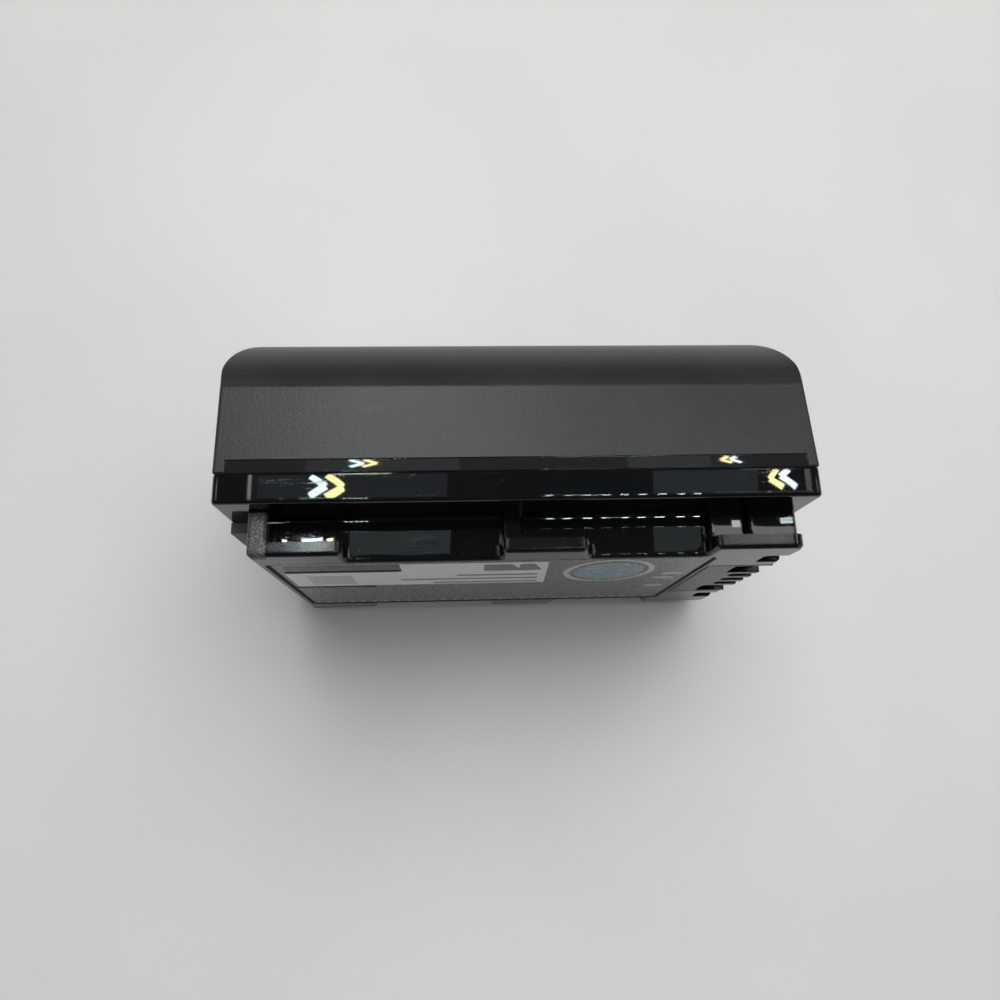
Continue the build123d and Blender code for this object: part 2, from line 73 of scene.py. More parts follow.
class Value:
    """A number that changes over a surface: a socket that can be reckoned with like any number."""

    def __init__(self, recipe: "Recipe", socket: bpy.types.NodeSocket) -> None:
        """Keeps the socket and the recipe that it belongs to."""
        self.recipe = recipe
        self.socket = socket

    def _sum(self, operation: str, *operands: "Operand") -> "Value":
        """Adds one Math node.

        Args:
            operation: What the node works out.
            operands: Numbers or values, in the order of its sockets.

        Returns:
            The node's result.
        """
        node = self.recipe.add("ShaderNodeMath", {"operation": operation}, dict(enumerate(operands)))
        return Value(self.recipe, node.outputs[0])

    def __add__(self, other: "Operand") -> "Value":
        """Self plus other."""
        return self._sum("ADD", self, other)

    def __radd__(self, other: "Operand") -> "Value":
        """Other plus self."""
        return self._sum("ADD", other, self)

    def __sub__(self, other: "Operand") -> "Value":
        """Self less other."""
        return self._sum("SUBTRACT", self, other)

    def __rsub__(self, other: "Operand") -> "Value":
        """Other less self."""
        return self._sum("SUBTRACT", other, self)

    def __mul__(self, other: "Operand") -> "Value":
        """Self times other."""
        return self._sum("MULTIPLY", self, other)

    def __rmul__(self, other: "Operand") -> "Value":
        """Other times self."""
        return self._sum("MULTIPLY", other, self)

    def __abs__(self) -> "Value":
        """Self without its sign."""
        return self._sum("ABSOLUTE", self)

    def remainder(self) -> "Value":
        """What is left of self above the next lower whole number."""
        return self._sum("FRACT", self)

    def sine(self) -> "Value":
        """Sine of self, in radians."""
        return self._sum("SINE", self)

    def fades(self, start: float, end: float) -> "Value":
        """Smooth step between two levels.

        Args:
            start: Level of self at which the result is 0.
            end: Level of self at which the result is 1; it may lie below start.

        Returns:
            A mask from 0 to 1.
        """
        settings = {"interpolation_type": "SMOOTHSTEP", "clamp": True}
        low, high = (start, end) if start < end else (end, start)
        ends = (0.0, 1.0) if start < end else (1.0, 0.0)
        sockets = {"Value": self, "From Min": low, "From Max": high, "To Min": ends[0], "To Max": ends[1]}
        node = self.recipe.add("ShaderNodeMapRange", settings, sockets)
        return Value(self.recipe, node.outputs["Result"])

    def within(self, low: float, high: float, soft: float) -> "Value":
        """Mask of the band from low to high, with edges soft wide."""
        return self.fades(low - soft / 2, low + soft / 2) * self.fades(high + soft / 2, high - soft / 2)


Operand = Union[int, float, Value]
Link = Union[Operand, bpy.types.NodeSocket, Sequence[float]]


class Recipe:
    """Node tree of one material, with its shader and the place of each point in millimetres."""

    LINE_WIDTH = 0.012
    PATCH_SCALE = 0.22
    PATCH_LEVEL = 0.62
    PATCH_SOFT = 0.1
    PATCH_GAIN = 0.3
    SQUARE_FROM = 0.9985
    SQUARE_FULL = 0.9995
    BEVEL_SAMPLES = 6

    def __init__(self, name: str) -> None:
        """Starts an empty material with a Principled shader.

        Args:
            name: Name of the material.
        """
        self.material = bpy.data.materials.new(name)
        self.material.use_nodes = True
        self.tree = self.material.node_tree
        self.tree.nodes.clear()
        self.shader = self.add("ShaderNodeBsdfPrincipled")
        self.add("ShaderNodeOutputMaterial", sockets={"Surface": self.shader.outputs[0]})
        sockets = {"Vector": self.add("ShaderNodeTexCoord").outputs["Object"], "Scale": (1 / MM,) * 3}
        self.place = self.add("ShaderNodeMapping", sockets=sockets).outputs[0]
        self.parts: dict[Axis, Value] = {}

    def add(
        self,
        kind: str,
        settings: Optional[Mapping[str, Any]] = None,
        sockets: Optional[Mapping[Union[str, int], Link]] = None,
    ) -> bpy.types.Node:
        """Adds any node.

        Args:
            kind: Type of the node.
            settings: Its own settings, which are set first.
            sockets: Values or links of its inputs, by name or number.

        Returns:
            The node.
        """
        node = self.tree.nodes.new(kind)
        for key, setting in (settings or {}).items():
            setattr(node, key, setting)
        for key, link in (sockets or {}).items():
            self._fill(node.inputs[key], link)
        return node

    def _fill(self, socket: bpy.types.NodeSocket, link: Link) -> None:
        """Links an input to the result of another node, or sets its own value."""
        if isinstance(link, Value):
            link = link.socket
        if isinstance(link, bpy.types.NodeSocket):
            self.tree.links.new(link, socket)
        else:
            socket.default_value = (*link, 1.0) if socket.type == "RGBA" else link

    def along(self, axis: Axis) -> Value:
        """Place of the point along one direction, in millimetres."""
        if not self.parts:
            node = self.add("ShaderNodeSeparateXYZ", sockets={"Vector": self.place})
            self.parts = {each: Value(self, node.outputs[each.value]) for each in Axis}
        return self.parts[axis]

    def stretched(self, scale: Point, turn: Point = (0.0, 0.0, 0.0)) -> bpy.types.NodeSocket:
        """Place of the point, scaled along each direction and turned, for a grain that runs one way."""
        sockets = {"Vector": self.place, "Rotation": turn, "Scale": scale}
        return self.add("ShaderNodeMapping", sockets=sockets).outputs[0]

    def noise(
        self, scale: float, detail: float = 2.0, rough: float = 0.5, at: Optional[bpy.types.NodeSocket] = None
    ) -> Value:
        """Soft noise.

        Args:
            scale: Features per millimetre.
            detail: Finer layers on top of the first.
            rough: How strong the finer layers are.
            at: Place to read it at, if not the plain one.

        Returns:
            A value around 0.5.
        """
        sockets = {"Vector": at or self.place, "Scale": scale, "Detail": detail, "Roughness": rough}
        return Value(self, self.add("ShaderNodeTexNoise", sockets=sockets).outputs[0])

    def cells(self, scale: float) -> Value:
        """Distance to the nearest of scattered points, scale of them per millimetre."""
        sockets = {"Vector": self.place, "Scale": scale}
        return Value(self, self.add("ShaderNodeTexVoronoi", sockets=sockets).outputs["Distance"])

    def hairlines(self, spacing: float, length: float, turn: float, share: float) -> Value:
        """Fine straight scratches.

        Args:
            spacing: Distance between neighbouring lines, in millimetres.
            length: How long they run, in millimetres.
            turn: Their direction about all three axes, in degrees.
            share: Part of the surface that carries any, from 0 to 1.

        Returns:
            A mask from 0 to 1.
        """
        angle = math.radians(turn)
        at = self.stretched((1 / length, 1 / spacing, 1 / spacing), (angle, angle, angle))
        line = abs(self.noise(1.0, 0.0, 0.5, at) - 0.5).fades(self.LINE_WIDTH, 0.0)
        level = self.PATCH_LEVEL - self.PATCH_GAIN * share
        return line * self.noise(self.PATCH_SCALE, 1.0).fades(level, level + self.PATCH_SOFT)

    def colours(self, factor: Operand, first: Link, second: Link) -> bpy.types.NodeSocket:
        """Goes from the first colour to the second as factor goes from 0 to 1."""
        settings = {"data_type": "RGBA", "clamp_factor": True}
        return self.add("ShaderNodeMix", settings, {0: factor, 6: first, 7: second}).outputs[2]

    def bump(
        self, height: Value, depth: float, under: Optional[bpy.types.NodeSocket] = None
    ) -> bpy.types.NodeSocket:
        """Relief.

        Args:
            height: Height of the surface, in units of depth.
            depth: Depth of the relief, in millimetres.
            under: Normal of a coarser relief below it.

        Returns:
            The normal.
        """
        sockets: dict[Union[str, int], Link] = {"Height": height, "Strength": 1.0, "Distance": depth * MM}
        if under is not None:
            sockets["Normal"] = under
        return self.add("ShaderNodeBump", sockets=sockets).outputs[0]

    def rounded(self, radius: float, where: Value) -> bpy.types.NodeSocket:
        """Softened edges, outer and inner ones alike, between faces that stay flat.

        Args:
            radius: Radius of the rounding, in millimetres.
            where: Mask of the places that are rounded.

        Returns:
            The normal.
        """
        geometry = self.add("ShaderNodeNewGeometry").outputs
        smooth, true = geometry["Normal"], geometry["True Normal"]
        parts = self.add("ShaderNodeSeparateXYZ", sockets={"Vector": true}).outputs
        square = [abs(Value(self, part)).fades(self.SQUARE_FROM, self.SQUARE_FULL) for part in parts]
        sockets = {0: square[0] + square[1] + square[2], 4: smooth, 5: true}
        crisp = self.add("ShaderNodeMix", {"data_type": "VECTOR"}, sockets).outputs[1]
        soft = self.add("ShaderNodeBevel", {"samples": self.BEVEL_SAMPLES}, {"Radius": radius * MM}).outputs[0]
        bend = self._vector("SUBTRACT", {0: soft, 1: smooth})
        bend = self._vector("SCALE", {0: bend, "Scale": where})
        return self._vector("NORMALIZE", {0: self._vector("ADD", {0: crisp, 1: bend})})

    def _vector(self, operation: str, sockets: Mapping[Union[str, int], Link]) -> bpy.types.NodeSocket:
        """Adds one Vector Math node and gives its result."""
        return self.add("ShaderNodeVectorMath", {"operation": operation}, sockets).outputs[0]

    def finish(self, **sockets: Link) -> bpy.types.Material:
        """Sets the shader's sockets, named with _ for a space, and gives the material."""
        for key, link in sockets.items():
            self._fill(self.shader.inputs[key.replace("_", " ")], link)
        return self.material


class Finish:
    """A surface finish. Each kind says in material() how it is made."""

    def material(self) -> bpy.types.Material:
        """Makes the material of this finish."""
        raise NotImplementedError


@dataclass(frozen=True)
class GrainedCover(Finish):
    """Charcoal plastic with a fine moulded grain, and a polished band next to the parting line."""

    colour: Colour = (0.0175, 0.0182, 0.0190)
    polished: Colour = (0.0150, 0.0154, 0.0160)
    paler: float = 1.7
    grain: float = 7.0
    grain_depth: float = 0.020
    side_start: float = 15.5
    side_full: float = 15.7
    band_top: float = -2.45
    band_top_soft: float = 0.04
    band_end: float = 21.6
    band_end_soft: float = 0.05
    band_lean: float = 0.0102
    band_round: float = 0.0176
    band_edge: float = 0.12
    band_wave: float = 0.1
    bow: float = 486.0
    crease: float = 3.2
    crease_soft: float = 0.3
    crease_tilt: float = 0.26

    def material(self) -> bpy.types.Material:
        """Makes the cover's material.

        Returns:
            Grained all over and slightly bowed, with the band smooth, darker and glossy.
        """
        r = Recipe("grained_cover")
        x, y = r.along(Axis.ALONG), r.along(Axis.ACROSS)
        side = abs(r.along(Axis.UP) - HALF_HEIGHT).fades(self.side_start, self.side_full)
        band = y.fades(self.band_top + self.band_top_soft, self.band_top - self.band_top_soft) * side
        band = band * abs(x).fades(self.band_end + self.band_end_soft, self.band_end - self.band_end_soft)
        matte = 1 - band
        fine = r.noise(self.grain, 3.0, 0.6)
        cloud = r.noise(0.12, 2.0)
        rub = r.hairlines(0.5, 9.0, 18.0, 0.35)
        pale = tuple(self.paler * part for part in self.colour)
        grey = r.colours(cloud.fades(0.3, 0.7) * 0.5 + fine.fades(0.45, 0.75) * 0.5, self.colour, pale)
        rough = 0.32 + 0.05 * fine + 0.05 * cloud - 0.06 * rub
        past_crease = y.fades(self.crease - self.crease_soft, self.crease + self.crease_soft)
        turn = (y - self.crease) * past_crease * self.crease_tilt
        below = y - self.band_top
        lean = (below * self.band_lean - below * below * (self.band_round / 2)) * band
        bowed = r.bump(x * x * (-0.5 / self.bow) - turn + lean, 1.0, r.rounded(self.band_edge, band))
        return r.finish(
            Base_Color=r.colours(band, grey, self.polished),
            Roughness=rough * matte + (0.015 + 0.02 * r.noise(0.9, 2.0)) * band,
            Normal=r.bump(fine * matte + r.noise(0.35, 0.0) * band * self.band_wave, self.grain_depth, bowed),
        )


@dataclass(frozen=True)
class PolishedBase(Finish):
    """Deep black plastic from a polished mould, satin on the faces towards the label side, with the pad at the
    left end painted pale as painted light and painted glints on the end block.
    """

    name: str = "polished_base"
    colour: Colour = (0.0038, 0.0043, 0.0050)
    frosted: Colour = (0.012, 0.012, 0.0125)
    # Pale grey of the pad at the left end: painted light, so the pad reads grey though it sits in the shade of the
    # cover and rim.
    pad_painted_light: Colour = (0.065, 0.065, 0.066)
    # Grey of the end block; the pale flecks of the next colour are painted glints in place of specular speckles.
    flecked: Colour = (0.030, 0.030, 0.031)
    fleck: Colour = (0.17, 0.17, 0.172)
    dust: Colour = (0.16, 0.155, 0.15)
    gloss: float = 0.010
    label_face: float = -9.25
    lip_back: float = -8.15
    rim_face: float = -5.77
    block_left: float = -20.35
    block_right: float = -18.87
    block_start: float = 12.6
    block_full: float = 12.9
    lip_start: float = 13.4
    lip_full: float = 13.6
    terminal_left: float = 16.15
    terminal_half: float = 6.8
    terminal_soft: float = 0.1
    gap: float = 0.14
    gap_soft: float = 0.02
    gap_start: float = 15.9
    gap_full: float = 16.1
    groove: float = -19.55
    groove_half: float = 0.3
    scuff: float = 21.4
    scuff_half: float = 0.22
    edge: float = 0.22
    rim_edge: float = 0.42
    edge_soft: float = 0.04

    def material(self) -> bpy.types.Material:
        """Makes the base's material.

        Returns:
            Glossy and slightly wavy, with hairlines, a little dust, soft edges and satin faces; the pad's pale
            grey is painted light and the pale flecks on the end block are painted glints.
        """
        r = Recipe(self.name)
        x, y = r.along(Axis.ALONG), r.along(Axis.ACROSS)
        height = abs(r.along(Axis.UP) - HALF_HEIGHT)
        wave = r.noise(0.30, 0.0)
        lines = r.hairlines(0.30, 6.0, 12.0, 0.5) + r.hairlines(0.24, 4.0, -35.0, 0.35)
        speck = r.cells(1.3).fades(0.05, 0.02) * r.noise(0.5, 0.0).fades(0.52, 0.62)
        block = x.within(self.block_left, self.block_right, 0.06) * height.fades(self.block_start, self.block_full)
        block = block * y.fades(self.rim_face - 0.1, self.rim_face - 0.2)
        face = y.fades(self.label_face + 0.08, self.label_face + 0.04)
        # Mask of the pad beyond the end block, which takes a pale colour as painted light.
        pad = x.fades(self.block_left + 0.02, self.block_left - 0.02)
        pad = pad * y.fades(self.rim_face - 0.02, self.rim_face - 0.06)
        dull = x.within(self.groove - self.groove_half, self.groove + self.groove_half, 0.05)
        dull = dull + x.within(self.scuff - self.scuff_half, self.scuff + self.scuff_half, 0.1)
        rim = y.fades(self.rim_face, self.rim_face + 0.05) * dull
        lips = height.fades(self.lip_start, self.lip_full) * y.fades(self.lip_back + 0.1, self.lip_back)
        lips = lips * (1 - block)
        # Frosted grain of the satin faces; on the end block it also places pale flecks, which are painted glints.
        frost = r.noise(9.0, 2.0, 0.6)
        flecks = r.colours(frost.fades(0.45, 0.68), self.flecked, self.fleck)
        gap = x.within(self.terminal_left - self.gap, self.terminal_left, self.gap_soft)
        gap = gap * height.fades(self.terminal_half, self.terminal_half - self.terminal_soft)
        ends = height.within(self.terminal_half, self.terminal_half + self.gap, self.gap_soft)
        gap = (gap + ends * x.fades(self.gap_start, self.gap_full)) * face
        tone = r.colours(face * (1 - gap), self.colour, self.frosted)
        # The pad in its painted light, and the end block in grey with painted glints.
        tone = r.colours(block, r.colours(pad, tone, self.pad_painted_light), flecks)
        seams = y.within(self.lip_back - self.edge, self.lip_back + self.edge, self.edge_soft)
        seams = seams + y.within(self.rim_face - self.rim_edge, self.rim_face + self.edge, self.edge_soft)
        relief = r.bump(wave, 0.006, r.rounded(self.edge, 1 - seams))
        rough = self.gloss + 0.01 * r.noise(0.8, 2.0) + 0.05 * lines + 0.35 * speck + 0.6 * gap
        grain = frost * (face + block + pad + 0.25 * lips)
        return r.finish(
            Base_Color=r.colours(speck * 0.7, tone, self.dust),
            Roughness=rough + 0.18 * face + 0.30 * block + 0.50 * pad + 0.10 * lips + 0.12 * rim,
            Normal=r.bump(grain + 0.25 * speck - 0.12 * lines, 0.004, relief),
        )


@dataclass(frozen=True)
class LabelFilm(Finish):
    """Dark satin film with a speckled lower field and a thin black border."""

    colour: Colour = (0.100, 0.101, 0.102)
    lower: Colour = (0.080, 0.081, 0.082)
    fleck: Colour = (0.30, 0.30, 0.305)
    rim: Colour = (0.006, 0.006, 0.006)
    border: float = 0.28
    soft: float = 0.05
    field_top: float = 15.95
    left: float = -19.6
    right: float = 15.7
    low: float = 5.3
    high: float = 26.5

    def material(self) -> bpy.types.Material:
        """Makes the film's material.

        Returns:
            Satin print with flecks in the lower field.
        """
        r = Recipe("label_film")
        x, z = r.along(Axis.ALONG), r.along(Axis.UP)
        inner = x.within(self.left + self.border, self.right - self.border, self.soft)
        inner = inner * z.within(self.low + self.border, self.high - self.border, self.soft)
        field_mask = z.fades(self.field_top + self.soft, self.field_top - self.soft)
        flecks = r.noise(4.5, 2.0, 0.7).fades(0.53, 0.68) * field_mask
        tone = r.colours(field_mask, self.colour, self.lower)
        tone = r.colours(flecks * 0.65, tone, self.fleck)
        fibre = r.noise(3.0, 3.0, 0.6)
        return r.finish(
            Base_Color=r.colours(inner, self.rim, tone),
            Roughness=0.22 + 0.10 * fibre + 0.08 * r.hairlines(0.4, 8.0, 25.0, 0.4) + 0.6 * (1 - inner),
            Normal=r.bump(r.noise(1.2, 2.0), 0.006),
        )


@dataclass(frozen=True)
class PrintInk(Finish):
    """A printed layer on the label, slightly mottled and worn."""

    name: str
    colour: Colour
    worn: Colour
    gloss: float = 0.28

    def material(self) -> bpy.types.Material:
        """Makes the ink's material."""
        r = Recipe(self.name)
        mottle = r.noise(1.6, 3.0, 0.6).fades(0.35, 0.75)
        rub = r.hairlines(0.35, 5.0, 30.0, 0.5)
        return r.finish(
            Base_Color=r.colours(mottle * 0.4 + rub * 0.5, self.colour, self.worn),
            Roughness=self.gloss + 0.10 * mottle + 0.1 * rub,
            Normal=r.bump(r.noise(5.0, 2.0), 0.003),
        )


@dataclass(frozen=True)
class Metal(Finish):
    """Rolled, drawn or plated metal with lines that run one way and a little tarnish."""

    name: str
    colour: Colour
    tarnish: Colour
    rough: float
    lines: Point = (0.15, 6.0, 6.0)
    relief: float = 0.002

    def material(self) -> bpy.types.Material:
        """Makes the metal's material."""
        r = Recipe(self.name)
        drawn = r.noise(1.0, 3.0, 0.6, r.stretched(self.lines))
        stain = r.noise(0.6, 3.0, 0.6).fades(0.5, 0.8)
        return r.finish(
            Base_Color=r.colours(stain * 0.6, self.colour, self.tarnish),
            Metallic=1.0,
            Roughness=self.rough + 0.12 * drawn + 0.15 * stain,
            Normal=r.bump(drawn, self.relief),
        )


@dataclass(frozen=True)
class BoardLaminate(Finish):
    """Green lacquered laminate with tracks that show through."""

    colour: Colour = (0.012, 0.085, 0.030)
    track: Colour = (0.040, 0.190, 0.065)
    edge: Colour = (0.30, 0.24, 0.12)
    glass: Colour = (0.42, 0.36, 0.2)
    lanes: float = 0.9
    threads: float = 9.0
    underside: float = -6.38
    upside: float = -5.63

    def material(self) -> bpy.types.Material:
        """Makes the board's material.

        Returns:
            Lacquer with tracks, on a pale glass laminate at the edges.
        """
        r = Recipe("board_laminate")
        x, z, y = r.along(Axis.ALONG), r.along(Axis.UP), r.along(Axis.ACROSS)
        lanes = abs((z * self.lanes).remainder() - 0.5).fades(0.18, 0.14)
        stops = r.noise(0.25, 0.0, 0.5, r.stretched((0.4, 1.0, 2.4))).fades(0.47, 0.5)
        track = lanes * stops
        weave = abs((x * self.threads).sine()) * 0.5 + abs((z * self.threads).sine()) * 0.5
        edges = y.within(self.underside, self.upside, 0.02)
        skin = r.colours(track, self.colour, self.track)
        return r.finish(
            Base_Color=r.colours(edges, skin, r.colours(weave, self.edge, self.glass)),
            Roughness=0.30 + 0.12 * weave,
            Normal=r.bump(track + 0.15 * weave, 0.02),
        )


@dataclass(frozen=True)
class ChipResin(Finish):
    """Moulded chip resin, matte with fine filler grain."""

    colour: Colour = (0.022, 0.022, 0.024)
    filler: Colour = (0.06, 0.06, 0.062)

    def material(self) -> bpy.types.Material:
        """Makes the resin's material."""
        r = Recipe("chip_resin")
        grain = r.noise(16.0, 3.0, 0.6)
        swirl = r.noise(1.1, 2.0)
        return r.finish(
            Base_Color=r.colours(grain.fades(0.4, 0.8) * 0.5 + swirl * 0.3, self.colour, self.filler),
            Roughness=0.48 + 0.2 * grain,
            Normal=r.bump(grain, 0.006),
        )


@dataclass(frozen=True)
class FiredCeramic(Finish):
    """Fired ceramic of small board parts, speckled."""

    colour: Colour = (0.40, 0.30, 0.19)
    speck: Colour = (0.62, 0.53, 0.40)

    def material(self) -> bpy.types.Material:
        """Makes the ceramic's material."""
        r = Recipe("fired_ceramic")
        grain = r.noise(12.0, 3.0, 0.6)
        return r.finish(
            Base_Color=r.colours(grain.fades(0.35, 0.7), self.colour, self.speck),
            Roughness=0.42 + 0.2 * grain,
            Normal=r.bump(grain, 0.008),
        )


@dataclass(frozen=True)
class Sheet(Finish):
    """Thin insulating sheet, tape or ring of plastic, a little cloudy and creased."""

    name: str
    colour: Colour
    shade: Colour
    rough: float = 0.35

    def material(self) -> bpy.types.Material:
        """Makes the sheet's material."""
        r = Recipe(self.name)
        cloud = r.noise(0.7, 3.0, 0.6)
        crease = r.hairlines(0.8, 10.0, 20.0, 0.7)
        return r.finish(
            Base_Color=r.colours(cloud.fades(0.3, 0.8), self.colour, self.shade),
            Roughness=self.rough + 0.15 * cloud,
            Normal=r.bump(cloud * 0.4 + crease, 0.012),
        )


@dataclass(frozen=True)
class PressedCard(Finish):
    """Pressed fibre card with short fibres."""

    colour: Colour = (0.105, 0.17, 0.115)
    fibre: Colour = (0.21, 0.29, 0.21)

    def material(self) -> bpy.types.Material:
        """Makes the card's material."""
        r = Recipe("pressed_card")
        fibres = r.noise(1.0, 4.0, 0.7, r.stretched((5.0, 2.2, 7.0), (0.4, 0.2, 0.5)))
        return r.finish(
            Base_Color=r.colours(fibres.fades(0.35, 0.7), self.colour, self.fibre),
            Roughness=0.72 + 0.15 * fibres,
            Normal=r.bump(fibres, 0.03),
        )


@dataclass(frozen=True)
class CellFoam(Finish):
    """Closed-cell foam with open pores on its cut faces."""

    colour: Colour = (0.020, 0.020, 0.021)
    skin: Colour = (0.060, 0.060, 0.062)

    def material(self) -> bpy.types.Material:
        """Makes the foam's material."""
        r = Recipe("cell_foam")
        pores = r.cells(4.0).fades(0.05, 0.5)
        return r.finish(
            Base_Color=r.colours(pores, self.colour, self.skin),
            Roughness=0.80 + 0.1 * pores,
            Normal=r.bump(pores, 0.06),
        )


@dataclass(frozen=True)
class TableTop(Finish):
    """Pale table top, slightly clouded."""

    colour: Colour = (0.70, 0.695, 0.675)
    darker: float = 0.96

    def material(self) -> bpy.types.Material:
        """Makes the table's material."""
        r = Recipe("table_top")
        cloud = r.noise(0.03, 2.0)
        shade = tuple(self.darker * part for part in self.colour)
        return r.finish(
            Base_Color=r.colours(cloud.fades(0.3, 0.7), self.colour, shade),
            Roughness=0.42 + 0.08 * r.noise(0.3, 3.0),
            Normal=r.bump(r.noise(1.5, 2.0), 0.01),
        )


class Dresser:
    """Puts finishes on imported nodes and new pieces, making each material once."""

    def __init__(self) -> None:
        """Starts with no material made."""
        self.made: dict[Finish, bpy.types.Material] = {}

    def dress(self, piece: bpy.types.Object, finish: Finish) -> None:
        """Gives a piece its material.

        Args:
            piece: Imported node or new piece.
            finish: Finish that it takes.
        """
        if finish not in self.made:
            self.made[finish] = finish.material()
        if not piece.material_slots:
            piece.data.materials.append(None)
        for slot in piece.material_slots:
            slot.material = self.made[finish]
        log.info("%s: %s", piece.name, self.made[finish].name)

    def nodes(self, names: Sequence[str], finish: Finish) -> None:
        """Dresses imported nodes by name."""
        for name in names:
            self.dress(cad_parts[name], finish)


@dataclass
class Casing:
    """Cover and base of the battery."""

    dresser: Dresser
    cover: str = "cover_shell"
    base: tuple[str, ...] = ("base_rim", "base_box", "base_lips")

    def build(self) -> None:
        """Dresses the two mouldings."""
        self.dresser.nodes([self.cover], GrainedCover())
        self.dresser.nodes(self.base, PolishedBase())


@dataclass
class EndRound:
    """Two strips of the cover's wall at the round of its terminal end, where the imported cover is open."""

    dresser: Dresser
    cover: str = "cover_shell"
    name: str = "cover_end_round"
    keenest: float = 110.0
    end: float = 19.5
    above: float = 6.0
    wall: float = 0.3
    merged: float = 1e-4
    smooth: float = 40.0

    def build(self) -> None:
        """Fills the openings from edge to edge and gives the strips their wall."""
        piece = bpy.data.objects.new(self.name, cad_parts[self.cover].data.copy())
        bpy.context.scene.collection.objects.link(piece)
        bpy.ops.object.select_all(action="DESELECT")
        piece.select_set(True)
        bpy.context.view_layer.objects.active = piece
        bpy.ops.mesh.customdata_custom_splitnormals_clear()
        bpy.ops.object.mode_set(mode="EDIT")
        bpy.ops.mesh.select_mode(type="EDGE")
        bpy.ops.mesh.select_all(action="SELECT")
        bpy.ops.mesh.remove_doubles(threshold=self.merged * MM)
        bpy.ops.mesh.select_all(action="DESELECT")
        bpy.ops.mesh.edges_select_sharp(sharpness=math.radians(self.keenest))
        bpy.ops.object.mode_set(mode="OBJECT")
        points = [vertex.co / MM for vertex in piece.data.vertices]
        for edge in piece.data.edges:
            edge.select = edge.select and all(
                points[corner].x > self.end and points[corner].y > self.above for corner in edge.vertices
            )
        bpy.ops.object.mode_set(mode="EDIT")
        bpy.ops.mesh.select_all(action="INVERT")
        bpy.ops.mesh.delete(type="EDGE_FACE")
        bpy.ops.mesh.select_all(action="SELECT")
        bpy.ops.mesh.delete_loose(use_edges=False)
        bpy.ops.mesh.select_all(action="SELECT")
        bpy.ops.mesh.edge_face_add()
        bpy.ops.mesh.quads_convert_to_tris(ngon_method="BEAUTY")
        bpy.ops.object.mode_set(mode="OBJECT")
        outward = Vector((1, 1, 0))
        turned = [face for face in piece.data.polygons if face.normal.dot(outward) < 0]
        log.info("%s: %d faces, %d turned", self.name, len(piece.data.polygons), len(turned))
        for face in turned:
            face.flip()
        thicken = piece.modifiers.new("wall", "SOLIDIFY")
        thicken.thickness = self.wall * MM
        thicken.offset = -1.0
        bpy.ops.object.modifier_apply(modifier=thicken.name)
        bpy.ops.object.shade_smooth_by_angle(angle=math.radians(self.smooth))
        self.dresser.dress(piece, GrainedCover())
        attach(piece, BODY)


@dataclass(frozen=True)
class Patch:
    """A printed shape with four sides.

    Attributes:
        low: Its lower left corner on the label, along and up.
        high: Its upper right corner.
        corner: Radius of its corners; 0 leaves them sharp.
        slant: How much further its lower right corner reaches.
    """

    low: Spot
    high: Spot
    corner: float = 0.0
    slant: float = 0.0


